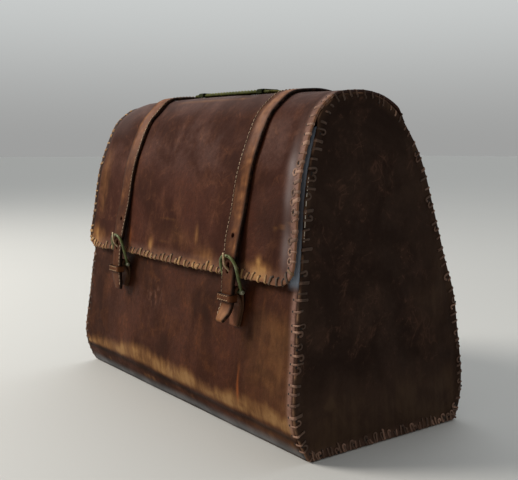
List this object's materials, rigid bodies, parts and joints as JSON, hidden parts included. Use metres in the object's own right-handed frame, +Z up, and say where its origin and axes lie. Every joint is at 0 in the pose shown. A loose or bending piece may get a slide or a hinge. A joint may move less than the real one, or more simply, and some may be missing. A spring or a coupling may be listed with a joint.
{
  "type": "leather satchel",
  "caption": "Hand-stitched leather satchel with a domed top, a front flap held by buckled straps, leaning end panels and a flat strap handle on top.",
  "frame": {"origin": "middle of the overall box, at the underside of the base", "axes": "+X to the satchel's right seen from the front, along its length; -Y out of the buckled front; +Z up"},
  "size_m": [0.38, 0.2046, 0.2937],
  "materials": {
    "body_leather": "waxed, scuffed and worn golden near the base",
    "side_leather": "waxed, dark, lightly scuffed",
    "flap_leather": "waxed, semi-gloss, worn tan at the edges",
    "strap_leather": "dry, worn tan brown",
    "loop_leather": "dark, dull",
    "handle_leather": "olive green, dull",
    "buckle_brass": "tarnished with verdigris",
    "prong_brass": "worn bright"
  },
  "bodies": {
    "root": {"body_wrap": "body_leather", "side_panel_left": "side_leather", "side_panel_right": "side_leather", "flap": "flap_leather", "handle": "handle_leather", "handle_loop_left": "loop_leather", "handle_loop_right": "loop_leather", "strap_left": "strap_leather", "buckle_left": "buckle_brass", "prong_left": "prong_brass", "chape_left": "strap_leather", "keeper_left": "strap_leather", "strap_right": "strap_leather", "buckle_right": "buckle_brass", "prong_right": "prong_brass", "chape_right": "strap_leather", "keeper_right": "strap_leather"}
  },
  "joints": []
}
